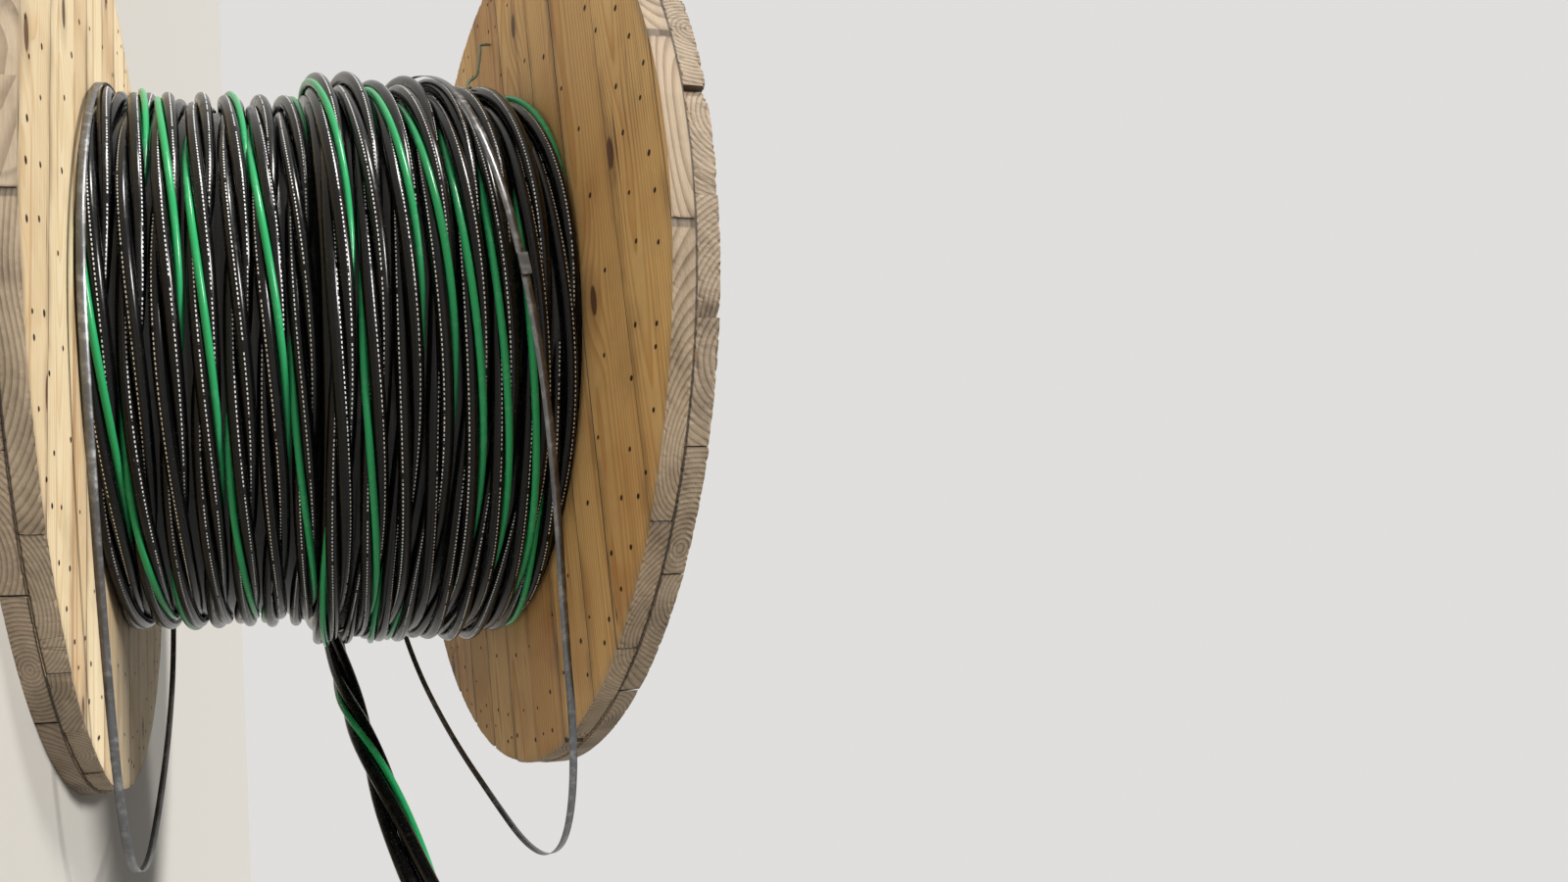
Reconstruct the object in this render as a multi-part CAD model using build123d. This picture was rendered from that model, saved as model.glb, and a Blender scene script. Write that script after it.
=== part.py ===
from build123d import *
from math import cos, radians, sin, tan
import os

# A wooden cable drum with its cable on it, stood on its left flange.
# It is drawn lying on its rims: X runs along its axis from the left flange to the
# right one, and the front is at -Y. Standing, its axis is upright and its top faces -X.
# All sizes are in millimetres.

# Flanges
flange_diameter = 1524.0
inside_width = 720.0
inner_ply = 31.0
outer_ply = 31.0
board_width = 140.0
ripped_board_width = 100.0
board_gap = 1.6
board_turn = -31.0
arbor_hole_diameter = 82.6
arbor_hole_offset = 21.0

# Barrel
barrel_diameter = 711.0
stave_thickness = 38.0
stave_count = 16
stave_gap = 1.5

# Tie rods
tie_rod_count = 6
tie_rod_diameter = 16.0
rod_to_stave = 37.5
tie_rod_clearance = 0.3
washer_diameter = 50.0
washer_thickness = 4.0
nut_width = 24.0
nut_height = 13.0
nut_recess_diameter = 56.0
nut_recess_depth = 22.0

# Winding
conductor_diameter = 21.3
green_diameter = 11.6
twine_diameter = 4.0
left_turns = 7
right_turns = 8
left_winding_radius = 482.0
top_layer_rise = 39.0
end_turn_drop = 22.0
turn_depth = 11.0
winding_clearance = 0.3

# Steel bands
band_width = 12.7
band_thickness = 0.8
left_band_clearance = 0.3
right_band_clearance = 0.8
left_band_offset = 33.0
left_band_slope = -0.0197
right_band_offset = 86.0
right_band_slope = -0.092
right_band_skew = -0.116
seal_length = 32.0
seal_thickness = 1.2
seal_clearance = 0.1

axis_height = flange_diameter / 2
flange_thickness = inner_ply + outer_ply
inner_face = inside_width / 2
barrel_radius = barrel_diameter / 2
tie_rod_circle = barrel_diameter - 2 * (stave_thickness + rod_to_stave)
right_winding_radius = left_winding_radius + top_layer_rise
standing = Location((0, 0, inner_face + flange_thickness), (0, -90, 0))
os.makedirs("parts", exist_ok=True)


def save(shapes, name):
    """Write one node's solids with the drum stood on its left flange."""
    solids = [solid.moved(standing) for solid in shapes]
    if len(solids) == 1:
        export_step(solids[0], f"parts/{name}.step")
    else:
        export_step(Compound(children=solids), f"parts/{name}.step")


def across(profile, start, width):
    """Extrude a profile drawn in the Y-Z plane along X from start."""
    plane = Plane(origin=(start, 0, 0), x_dir=(0, 1, 0), z_dir=(1, 0, 0))
    return extrude(plane * profile, amount=width)


def seams(first, widths):
    """Edges of the boards, counted outwards both ways from the middle board."""
    radius = flange_diameter / 2
    edges = [first]
    step = 0
    while edges[-1] < radius:
        edges.append(edges[-1] + widths(step))
        step += 1
    step = -1
    while edges[0] > -radius:
        edges.insert(0, edges[0] - widths(step))
        step -= 1
    return edges


def ply(start, thickness, turn, first, widths, recess):
    """One layer of boards, sawn to the flange's circle."""
    disc = Circle(flange_diameter / 2)
    holes = Circle(arbor_hole_diameter / 2)
    rod_hole = tie_rod_diameter / 2 + tie_rod_clearance
    for spot in PolarLocations(tie_rod_circle / 2, tie_rod_count):
        holes += spot * Circle(rod_hole)
    edges = seams(first, widths)
    boards = []
    for low, high in zip(edges, edges[1:]):
        strip = Pos((low + high) / 2, 0) * Rectangle(high - low - board_gap, 2 * flange_diameter)
        outline = Rot(0, 0, turn) * (disc & strip)
        for face in (outline - holes).faces():
            boards.append(across(face, start, thickness).solid())
    if recess:
        cutter_start = start if recess < 0 else start + thickness - nut_recess_depth
        cutters = []
        for spot in PolarLocations(tie_rod_circle / 2, tie_rod_count):
            cutters.append(across(spot * Circle(nut_recess_diameter / 2), cutter_start, nut_recess_depth))
        cut = []
        for board in boards:
            for cutter in cutters:
                board = board - cutter
            cut.extend(board.solids())
        boards = cut
    return boards


def inner_widths(step):
    """One board of the inner ply is ripped narrower."""
    return ripped_board_width if step == -3 else board_width


def even_widths(step):
    return board_width


middle_seam = -arbor_hole_offset - board_width / 2
left_inner = ply(-inner_face - inner_ply, inner_ply, board_turn, middle_seam, inner_widths, 0)
left_outer = ply(-inner_face - flange_thickness, outer_ply, board_turn + 90, middle_seam, even_widths, -1)
right_inner = ply(inner_face, inner_ply, board_turn, middle_seam, inner_widths, 0)
right_outer = ply(inner_face + inner_ply, outer_ply, board_turn + 90, middle_seam, even_widths, 1)
save(left_inner, "left_flange_inner_boards")
save(left_outer, "left_flange_outer_boards")
save(right_inner, "right_flange_inner_boards")
save(right_outer, "right_flange_outer_boards")

# Barrel of flat staves between the flanges
stave_inset = stave_thickness / cos(radians(180 / stave_count))
ring = RegularPolygon(barrel_radius, stave_count) - RegularPolygon(barrel_radius - stave_inset, stave_count)
for index in range(stave_count):
    joint = Pos(barrel_radius, 0) * Rectangle(barrel_diameter, stave_gap)
    ring -= Rot(0, 0, 360 * index / stave_count) * joint
staves = [across(face, -inner_face, inside_width).solid() for face in ring.faces()]
save(staves, "barrel_staves")

# Tie rods with washers and nuts sunk into the outer plies
washer_seat = inner_face + flange_thickness - nut_recess_depth
nut_seat = washer_seat + washer_thickness
rod_end = inner_face + flange_thickness - 1.0
rods = []
washers = []
nuts = []
rod_bore = Circle(tie_rod_diameter / 2 + tie_rod_clearance)
for spot in PolarLocations(tie_rod_circle / 2, tie_rod_count):
    rods.append(across(spot * Circle(tie_rod_diameter / 2), -rod_end, 2 * rod_end).solid())
    washer = Circle(washer_diameter / 2) - rod_bore
    nut = RegularPolygon(nut_width / 2, 6, major_radius=False) - rod_bore
    washers.append(across(spot * washer, washer_seat, washer_thickness).solid())
    washers.append(across(spot * washer, -nut_seat, washer_thickness).solid())
    nuts.append(across(spot * nut, nut_seat, nut_height).solid())
    nuts.append(across(spot * nut, -nut_seat - nut_height, nut_height).solid())
save(rods, "tie_rods")
save(washers, "tie_rod_washers")
save(nuts, "tie_rod_nuts")

# The wound cable: full lower layers, then one more layer over the right turns
turns = left_turns + right_turns
wound_width = inside_width - 2 * winding_clearance
pitch = wound_width / turns
edge = -wound_width / 2
step_x = edge + left_turns * pitch
crests = []
for index in range(turns):
    crest = left_winding_radius if index < left_turns else right_winding_radius
    if index in (0, turns - 1):
        crest -= end_turn_drop
    crests.append(crest)


def wound(bore, start, tops, end):
    """Turned layers from start to end, with a round crest for each turn in tops."""
    with BuildSketch(Plane.XY) as section:
        with BuildLine():
            here = (start, tops[0] - turn_depth)
            Line((start, bore), here)
            for index, crest in enumerate(tops):
                there = (start + pitch * (index + 1), crest - turn_depth)
                ThreePointArc(here, (start + pitch * (index + 0.5), crest), there)
                following = tops[min(index + 1, len(tops) - 1)]
                here = (there[0], following - turn_depth)
                if following != crest:
                    Line(there, here)
            if end > here[0] + pitch / 2:
                flat = (here[0], left_winding_radius - turn_depth)
                Line(flat, (end, flat[1]))
                here = (end, flat[1])
            Line(here, (end, bore))
            Line((end, bore), (start, bore))
        make_face()
    return revolve(section.sketch, Axis.X, 360).solid()


under_layer = left_winding_radius - turn_depth + winding_clearance
lower_bore = barrel_radius + winding_clearance
save([wound(lower_bore, edge, crests[:left_turns], -edge)], "cable_lower_layers")
save([wound(under_layer, step_x, crests[left_turns:], -edge)], "cable_top_layer")


def surface_radius(x):
    """Radius of the wound cable's surface at x, between the crests."""
    place = (x + wound_width / 2) / pitch
    index = min(max(int(place), 0), turns - 1)
    sagitta_radius = (pitch**2 / 4 + turn_depth**2) / (2 * turn_depth)
    off = (place - index - 0.5) * pitch
    return crests[index] - sagitta_radius + (sagitta_radius**2 - off**2) ** 0.5


def bend_radii(points, closed):
    """Bend radius at each corner, from the shorter of its two runs."""
    corners = [Vector(*point) for point in points]
    if closed:
        corners = [corners[-1]] + corners + [corners[0]]
    radii = []
    for before, here, after in zip(corners, corners[1:], corners[2:]):
        half_turn = radians((here - before).get_angle(after - here)) / 2
        radii.append(0.45 * min((here - before).length, (after - here).length) / tan(half_turn))
    return radii


def loop(points, plane):
    """A closed steel strip whose inner side follows the corners (y, z)."""
    wire = FilletPolyline(*points, radius=bend_radii(points, True), close=True).wire()
    strip = make_face(wire.offset_2d(band_thickness)) - make_face(wire)
    face = plane.from_local_coords(strip.faces()[0])
    return extrude(face, amount=band_width).solid()


def slanted(x, by_y, by_z):
    """Plane of a band: x at the rims' lowest point, and its slopes."""
    normal = Vector(1, -by_y, -by_z).normalized()
    across_y = Vector(by_y, 1, 0).normalized()
    return Plane(origin=(x, 0, -axis_height), x_dir=across_y, z_dir=normal)


def from_axis(corners):
    """Corners beside the winding, whose heights count from the drum's axis."""
    return [(y, z + axis_height) for y, z in corners]


# The left band is a loose loop from the first turn down to the rims' lowest level.
# Heights near the floor, and those of the tail and the twine, count from that level.
left_band_foot = -inner_face + left_band_offset
left_top_x = left_band_foot + left_band_slope * flange_diameter * 0.8 + band_width
left_top = axis_height + surface_radius(left_top_x) + left_band_clearance
left_side = left_winding_radius
left_floor = [(-640, 130), (-500, 26), (-330, 1.1), (-60, 1.1), (200, 60)]
left_front = [(152 - left_side, left_side - 94), (-left_side - 10, 228), (-left_side - 90, -2)]
left_front += [(-left_side - 152, -242), (-left_side - 186, -482)]
left_back = [(left_side - 72, -502), (left_side + 28, -202), (left_side + 18, 88)]
left_back += [(left_side - 112, left_side - 154)]
left_band = [(120, left_top), (-130, left_top)] + from_axis(left_front) + left_floor + from_axis(left_back)
save([loop(left_band, slanted(left_band_foot, 0.0, left_band_slope))], "left_steel_band")

# The right band slants across the last turns
right_band_foot = inner_face - right_band_offset
right_plane = slanted(right_band_foot, right_band_skew, right_band_slope)
right_top_x = right_band_foot + right_band_slope * flange_diameter * 0.84
right_top = (axis_height + surface_radius(right_top_x) + right_band_clearance) / right_plane.y_dir.Z
right_side = right_winding_radius
right_floor = [(-664, 150), (-600, 55), (-500, 8), (-370, 1.2), (-100, 1.2), (180, 60)]
right_front = [(221 - right_side, right_side - 63), (71 - right_side, right_side - 198)]
right_front += [(-right_side - 35, 138), (-right_side - 91, -62), (-right_side - 119, -262)]
right_front += [(-right_side - 159, -452)]
right_back = [(right_side - 101, -502), (right_side + 24, -242), (right_side + 44, 38)]
right_back += [(right_side - 71, right_side - 203), (right_side - 231, right_side - 53)]
right_band = [(120, right_top), (-120, right_top)] + from_axis(right_front) + right_floor + from_axis(right_back)
save([loop(right_band, right_plane)], "right_steel_band")


# Crimp seal: a steel sleeve round the right band, where its ends overlap
run_start = Vector(*right_band[3])
run_end = Vector(*right_band[4])
middle = right_plane.from_local_coords((run_start + run_end) / 2)
along = (right_plane.from_local_coords(run_end) - right_plane.from_local_coords(run_start)).normalized()
seal_plane = Plane(origin=middle - along * seal_length / 2, x_dir=right_plane.z_dir, z_dir=along)
side = 1 if seal_plane.y_dir.dot(middle - right_plane.from_local_coords(Vector(0, axis_height))) > 0 else -1
centre = Pos(band_width / 2, side * band_thickness / 2)
inner_sleeve = Rectangle(band_width + 2 * seal_clearance, band_thickness + 2 * seal_clearance)
sleeve_wall = 2 * (seal_clearance + seal_thickness)
outer_sleeve = Rectangle(band_width + sleeve_wall, band_thickness + sleeve_wall)
sleeve = seal_plane * centre * (outer_sleeve - inner_sleeve)
save([extrude(sleeve, amount=seal_length).solid()], "right_band_seal")


def tube(points, diameter):
    """A cord's solid: straight runs joined by tangent arcs."""
    radii = bend_radii(points, False)
    path = FilletPolyline(*points, radius=radii)
    section = Plane(origin=path @ 0, z_dir=path % 0) * Circle(diameter / 2)
    solid = sweep(section, path=path).solid()
    print("bend radii", [round(radius) for radius in radii])
    print("length", round(path.length), "volume share", round(solid.volume / (section.area * path.length), 4))
    return solid


# Free tail: the bundle leaves the winding's underside and comes forward.
# Each station is the bundle's centre and the green conductor's place round it.
tail_stations = [(36, 28, 220, 290), (39, -86, 215, 262), (40, -197, 213, 225)]
tail_stations += [(42, -310, 215, 183), (46, -418, 218, 135), (50, -530, 221, 84)]
tail_stations += [(55, -636, 225, 44), (61, -745, 229, 12), (66, -846, 233, -15)]
black_lay_radius = 14.2
green_lay_radius = 21.8


def strand(offset, lay_radius, ends):
    """One conductor's route: it turns round the bundle's centre, then fans out."""
    points = []
    for x, y, z, place in tail_stations:
        turn = radians(place + offset)
        points.append((x + lay_radius * cos(turn), y, z - axis_height + lay_radius * sin(turn)))
    for x, y, z in ends:
        points.append((x, y, z - axis_height))
    return points


upper_ends = [(60, -950, 250), (66, -1075, 268)]
lower_ends = [(67, -955, 221), (62, -1090, 226)]
right_ends = [(91, -945, 243), (128, -1062, 240)]
green_ends = [(90, -960, 211), (93, -1058, 205), (96, -1150, 203)]
save([tube(strand(180, black_lay_radius, upper_ends), conductor_diameter)], "tail_black_upper")
save([tube(strand(300, black_lay_radius, lower_ends), conductor_diameter)], "tail_black_lower")
save([tube(strand(60, black_lay_radius, right_ends), conductor_diameter)], "tail_black_right")
save([tube(strand(0, green_lay_radius, green_ends), green_diameter)], "tail_green")

# Twine from the right flange's inner face down into the groove between two turns
twine_points = [(359.7, 165.3, 1387.2), (337.5, 163.5, 1386.5), (330, 122, 1368), (318, 75, 1345)]
twine_points += [(306, 35, 1322), (297, 8, 1303), (276, -20, 1290), (264.5, -52, 1274), (264, -84, 1269)]
twine_route = [(x, y, z - axis_height) for x, y, z in twine_points]
save([tube(twine_route, twine_diameter)], "green_twine")
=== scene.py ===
import bpy
from math import cos, pi, radians, sin
from mathutils import Matrix
import bmesh
import numpy as np


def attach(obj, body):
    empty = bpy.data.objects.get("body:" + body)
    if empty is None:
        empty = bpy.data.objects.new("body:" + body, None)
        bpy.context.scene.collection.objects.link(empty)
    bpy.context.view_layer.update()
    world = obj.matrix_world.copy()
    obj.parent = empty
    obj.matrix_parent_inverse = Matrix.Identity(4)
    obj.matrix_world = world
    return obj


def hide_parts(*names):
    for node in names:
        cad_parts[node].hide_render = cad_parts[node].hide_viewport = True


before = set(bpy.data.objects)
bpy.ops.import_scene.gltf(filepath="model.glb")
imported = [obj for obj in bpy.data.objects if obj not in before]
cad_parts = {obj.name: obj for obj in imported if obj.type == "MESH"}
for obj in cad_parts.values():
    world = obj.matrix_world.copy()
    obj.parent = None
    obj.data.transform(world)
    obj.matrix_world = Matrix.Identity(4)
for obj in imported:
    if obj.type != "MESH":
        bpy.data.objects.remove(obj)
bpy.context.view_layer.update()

# Viewpoint.
# The drum stands on its left flange. The eye sees it as it is seen when it lies on
# its rims: from in front, a little above its axis and left of its middle.
eye = bpy.data.cameras.new("eye")
eye.sensor_width = 36.0
eye.lens = 19.87
eye.shift_x = 0.2461
eye.shift_y = 0.0911
eye_object = bpy.data.objects.new("eye", eye)
bpy.context.scene.collection.objects.link(eye_object)
eye_object.matrix_world = Matrix((
    (-0.0299, -0.9360, -0.3507, -0.2268),
    (-0.1715, 0.3504, -0.9208, -1.7317),
    (0.9847, 0.0326, -0.1710, 0.2811),
    (0, 0, 0, 1),
))
bpy.context.scene.camera = eye_object
body = "root"

# Free tail.
# Three black insulated copper conductors and a thin green one, twisted together. With
# the drum on its rims they leave its underside, hang forward and end cut off square.
axis_height = 0.762
outer_face = 0.422
conductor_radius = 0.01065
green_radius = 0.0058
# The bundle's centre on the lying drum, in mm, and the bundle's turn there in degrees.
tail_stations = [(36, 28, 220, 290), (39, -86, 215, 262), (40, -197, 213, 225)]
tail_stations += [(42, -310, 215, 183), (46, -418, 218, 135), (50, -530, 221, 84)]
tail_stations += [(55, -636, 225, 44), (61, -745, 229, 12), (66, -846, 233, -15)]


class Shade:
    """One output of a material's nodes; arithmetic on it adds Math nodes."""

    def __init__(self, tree, socket=None):
        self.tree = tree
        self.socket = socket

    def node(self, kind, settings=(), inputs=(), output=0):
        """Add a node of this kind; settings are set first, then inputs by name or number."""
        made = self.tree.nodes.new(kind)
        for name, value in dict(settings).items():
            if name == "stops":
                elements = made.color_ramp.elements
                while len(elements) < len(value):
                    elements.new(0.5)
                for element, (position, tone) in zip(elements, value):
                    element.position = position
                    element.color = (*tone, 1) if len(tone) == 3 else tone
            else:
                setattr(made, name, value)
        for name, value in dict(inputs).items():
            if isinstance(value, Shade):
                self.tree.links.new(value.socket, made.inputs[name])
            elif made.inputs[name].type == "RGBA":
                made.inputs[name].default_value = (*value[:3], 1)
            else:
                made.inputs[name].default_value = value
        return Shade(self.tree, made.outputs[output])

    def maths(self, operation, *values):
        return self.node("ShaderNodeMath", {"operation": operation}, enumerate(values))

    def __add__(self, other):
        return self.maths("ADD", self, other)

    __radd__ = __add__

    def __sub__(self, other):
        return self.maths("SUBTRACT", self, other)

    def __rsub__(self, other):
        return self.maths("SUBTRACT", other, self)

    def __mul__(self, other):
        return self.maths("MULTIPLY", self, other)

    __rmul__ = __mul__

    def __truediv__(self, other):
        return self.maths("DIVIDE", self, other)

    def __pow__(self, other):
        return self.maths("POWER", self, other)

    def above(self, limit):
        return self.maths("GREATER_THAN", self, limit)

    def most(self, other):
        return self.maths("MAXIMUM", self, other)

    def least(self, other):
        return self.maths("MINIMUM", self, other)

    def floor(self):
        return self.maths("FLOOR", self)

    def part(self):
        return self.maths("FRACT", self)

    def size(self):
        return self.maths("ABSOLUTE", self)

    def axes(self):
        """The three numbers of a vector."""
        return [self.node("ShaderNodeSeparateXYZ", {}, {0: self}, index) for index in range(3)]

    def step(self, low, high):
        """Smooth rise from 0 at low to 1 at high."""
        settings = {"interpolation_type": "SMOOTHSTEP"}
        return self.node("ShaderNodeMapRange", settings, {0: self, 1: low, 2: high}, 0)

    def vector(self, x, y, z):
        return self.node("ShaderNodeCombineXYZ", {}, {0: x, 1: y, 2: z})

    def noise(self, place, scale, detail=2.0, roughness=0.5):
        inputs = {"Vector": place, "Scale": scale, "Detail": detail, "Roughness": roughness}
        return self.node("ShaderNodeTexNoise", {}, inputs, 0)

    def blend(self, first, second, share):
        """Colour that goes from first to second with share."""
        inputs = {0: share, 6: first, 7: second}
        return self.node("ShaderNodeMix", {"data_type": "RGBA"}, inputs, 2)

    def bump(self, height, strength, distance):
        """Normal of a surface raised by height times distance, in metres."""
        inputs = {"Strength": strength, "Distance": distance, "Height": height}
        return self.node("ShaderNodeBump", {}, inputs, 0)


def finish_material(name):
    """A new material, its Shade to add nodes with, and its surface shader."""
    material = bpy.data.materials.new(name)
    material.use_nodes = True
    surface = material.node_tree.nodes["Principled BSDF"]
    return material, Shade(material.node_tree), surface


def join(shade, surface, **links):
    """Link Shades to the surface shader's sockets, named with underscores."""
    for name, value in links.items():
        socket = surface.inputs[name.replace("_", " ")]
        if isinstance(value, Shade):
            shade.tree.links.new(value.socket, socket)
        else:
            socket.default_value = value


def insulation(name, tone, dull, dust, print_line):
    """Extruded insulation: even colour, fine ripples, scuffs and dust, and on the black
    conductors a line of printed dashes along the route."""
    material, shade, surface = finish_material(name)
    place = shade.node("ShaderNodeTexCoord", {}, {}, "Object")
    scuffs = shade.noise(place, 38.0, 4.0, 0.65).step(0.52, 0.72)
    specks = shade.noise(place, 420.0, 1.0).step(0.70, 0.76)
    patches = shade.noise(place, 5.5, 2.0).step(0.42, 0.68)
    colour = shade.blend(tone, dull, scuffs * 0.45)
    colour = shade.blend(colour, dust, specks * patches * 0.40)
    rough = 0.19 + 0.16 * scuffs + 0.14 * patches * scuffs + 0.25 * specks * patches
    if print_line:
        route = shade.node("ShaderNodeUVMap", {"uv_map": "route"}, {}, 0)
        along, around, _ = route.axes()
        band = 1 - (around - 0.5).size().step(0.011, 0.016)
        strokes = (along * 145.0).part().step(0.45, 0.52)
        words = shade.noise(shade.vector(along, 0.0, 0.0), 42.0, 2.0, 0.7).step(0.40, 0.43)
        spans = shade.noise(shade.vector(along, 3.0, 0.0), 4.0, 1.0).step(0.30, 0.34)
        cells = shade.vector(along * 300.0, around * 60.0, 0.0)
        edge = shade.noise(cells, 1.0, 1.0).step(0.22, 0.40)
        ink = band * strokes * words * spans * edge
        colour = shade.blend(colour, (0.86, 0.86, 0.84), ink)
        rough = rough + 0.2 * ink
    height = shade.noise(place, 260.0, 3.0, 0.6) + 2.5 * shade.noise(place, 22.0, 1.0)
    relief = shade.bump(height, 0.08, 0.001)
    join(shade, surface, Base_Color=colour, Roughness=rough, Normal=relief)
    surface.inputs["Specular IOR Level"].default_value = 0.24
    return material


black_insulation = insulation("black_insulation", (0.0025, 0.0025, 0.0028), (0.008, 0.007, 0.0065),
                              (0.22, 0.21, 0.19), True)
green_insulation = insulation("green_insulation", (0.022, 0.33, 0.115), (0.06, 0.38, 0.17),
                              (0.35, 0.42, 0.34), False)


def stood(points):
    """Points of the lying drum, x along its axis, turned with it onto its left flange."""
    points = np.asarray(points, float).reshape(-1, 3)
    return np.column_stack([axis_height - points[:, 2], points[:, 1], points[:, 0] + outer_face])


def place_mesh(name, points, faces, material, uvs=None, smooth=True, closed=False):
    """Make an object from points and faces; the faces of a closed one are turned outwards."""
    mesh = bpy.data.meshes.new(name)
    faces = faces.tolist() if isinstance(faces, np.ndarray) else faces
    mesh.from_pydata(stood(points), [], faces)
    if uvs is not None:
        layer = mesh.uv_layers.new(name="route")
        corners = np.empty(len(mesh.loops), dtype=np.int64)
        mesh.loops.foreach_get("vertex_index", corners)
        if len(uvs) == len(mesh.loops):
            layer.data.foreach_set("uv", np.asarray(uvs, float).ravel())
        else:
            layer.data.foreach_set("uv", np.asarray(uvs, float)[corners].ravel())
    mesh.polygons.foreach_set("use_smooth", np.full(len(mesh.polygons), smooth))
    mesh.materials.append(material)
    if closed:
        work = bmesh.new()
        work.from_mesh(mesh)
        bmesh.ops.recalc_face_normals(work, faces=work.faces)
        work.to_mesh(mesh)
        work.free()
    mesh.update()
    made = bpy.data.objects.new(name, mesh)
    bpy.context.scene.collection.objects.link(made)
    return made


def cord_route(offset, lay_radius, ends):
    """One conductor's route, in metres: it turns round the bundle's centre, then fans out."""
    points = []
    for x, y, z, place in tail_stations:
        turn = radians(place + offset)
        points.append((x + lay_radius * cos(turn), y, z + lay_radius * sin(turn)))
    return np.array(points + ends) / 1000


def spline_points(points):
    """Even points on the smooth curve that has these control points, and its length."""
    curve = bpy.data.curves.new("route", "CURVE")
    curve.dimensions = "3D"
    curve.resolution_u = 12
    spline = curve.splines.new("NURBS")
    spline.points.add(len(points) - 1)
    spline.points.foreach_set("co", np.column_stack([points, np.ones(len(points))]).ravel())
    spline.order_u = 3
    spline.use_endpoint_u = True
    route = bpy.data.objects.new("route", curve)
    line = bpy.data.meshes.new_from_object(route)
    found = np.empty(len(line.vertices) * 3)
    line.vertices.foreach_get("co", found)
    bpy.data.meshes.remove(line)
    bpy.data.objects.remove(route)
    bpy.data.curves.remove(curve)
    found = found.reshape(-1, 3)
    return found, float(np.linalg.norm(np.diff(found, axis=0), axis=1).sum())


def along_route(route, radius, sides, start_angle):
    """Tube: a circle of this radius carried square to the route, from its first to its last point.

    Each ring is centre + radius * (cos a * side + sin a * up), where side and up are
    square to the route's direction; the uv is (distance along, share around)."""
    way = np.gradient(route, axis=0)
    way /= np.linalg.norm(way, axis=1, keepdims=True)
    side = np.cross((0.0, 0.0, 1.0), way)
    side /= np.linalg.norm(side, axis=1, keepdims=True)
    up = np.cross(way, side)
    angles = np.linspace(0, 2 * pi, sides, endpoint=False)[None, :, None]
    ring = np.cos(angles) * side[:, None] + np.sin(angles) * up[:, None]
    points = route[:, None] + radius * ring
    gone = np.concatenate([[0], np.cumsum(np.linalg.norm(np.diff(route, axis=0), axis=1))])
    number = np.arange(len(route) * sides).reshape(len(route), sides)
    after = np.roll(number, -1, axis=1)
    faces = np.stack([number[:-1], after[:-1], after[1:], number[1:]], axis=-1).reshape(-1, 4)
    share = (np.arange(sides) / sides + start_angle) % 1.0
    next_share = share + 1 / sides
    uv = np.empty((len(route) - 1, sides, 4, 2))
    uv[:, :, 0, 0] = uv[:, :, 1, 0] = gone[:-1, None]
    uv[:, :, 2, 0] = uv[:, :, 3, 0] = gone[1:, None]
    uv[:, :, 0, 1] = uv[:, :, 3, 1] = share[None]
    uv[:, :, 1, 1] = uv[:, :, 2, 1] = next_share[None]
    return points.reshape(-1, 3), faces, uv.reshape(-1, 2), way, side, up


def tail_conductor(name, offset, lay_radius, ends, radius, material, print_place):
    """One free conductor as a tube, with its route, its length and the axes at its end."""
    points = cord_route(offset, lay_radius, ends)
    route, length = spline_points(points)
    mesh_points, faces, uv, way, side, up = along_route(route, radius, 24, print_place)
    made = place_mesh(name, mesh_points, faces, material, uv)
    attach(made, body)
    return made, route, length, (way[-1], side[-1], up[-1])


upper_ends = [(60, -950, 250), (66, -1075, 268)]
lower_ends = [(67, -955, 221), (62, -1090, 226)]
right_ends = [(91, -945, 243), (128, -1062, 240)]
green_ends = [(90, -960, 211), (93, -1058, 205), (96, -1150, 203)]

# Cut ends of the tail.
# Each black conductor shows its jacket, a ring of pale tape folds, a fluted copper
# ring and a core of compacted copper strands. All were cut with shears.


def copper(name, tone, dark):
    """Freshly sheared copper: bright metal with duller stains and a fine rough grain."""
    material, shade, surface = finish_material(name)
    place = shade.node("ShaderNodeTexCoord", {}, {}, "Object")
    grain = shade.noise(place, 900.0, 3.0, 0.6)
    stain = shade.noise(place, 260.0, 2.0).step(0.35, 0.7)
    colour = shade.blend(tone, dark, stain * 0.7)
    relief = shade.bump(grain, 0.5, 0.0003)
    join(shade, surface, Base_Color=colour, Roughness=0.28 + 0.25 * stain, Normal=relief)
    surface.inputs["Metallic"].default_value = 1.0
    return material


strand_copper = copper("strand_copper", (0.74, 0.43, 0.30), (0.40, 0.21, 0.14))
ring_copper = copper("ring_copper", (0.86, 0.42, 0.30), (0.60, 0.26, 0.18))
pale_tape, tape_shade, tape_surface = finish_material("pale_tape")
tape_place = tape_shade.node("ShaderNodeTexCoord", {}, {}, "Object")
tape_mark = tape_shade.noise(tape_place, 600.0, 2.0).step(0.4, 0.7)
tape_tone = tape_shade.blend((0.62, 0.60, 0.54), (0.3, 0.28, 0.25), tape_mark * 0.6)
join(tape_shade, tape_surface, Base_Color=tape_tone, Roughness=0.4 + 0.2 * tape_mark)
strand_pitch, strand_dome = 0.0020, 0.0005


def lift(end, local):
    """Move points (across, up, out) from the cut's own axes to the drum's frame."""
    centre, (way, side, up) = end
    local = np.asarray(local)
    return centre + local[..., 0:1] * side + local[..., 1:2] * up + local[..., 2:3] * way


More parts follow.
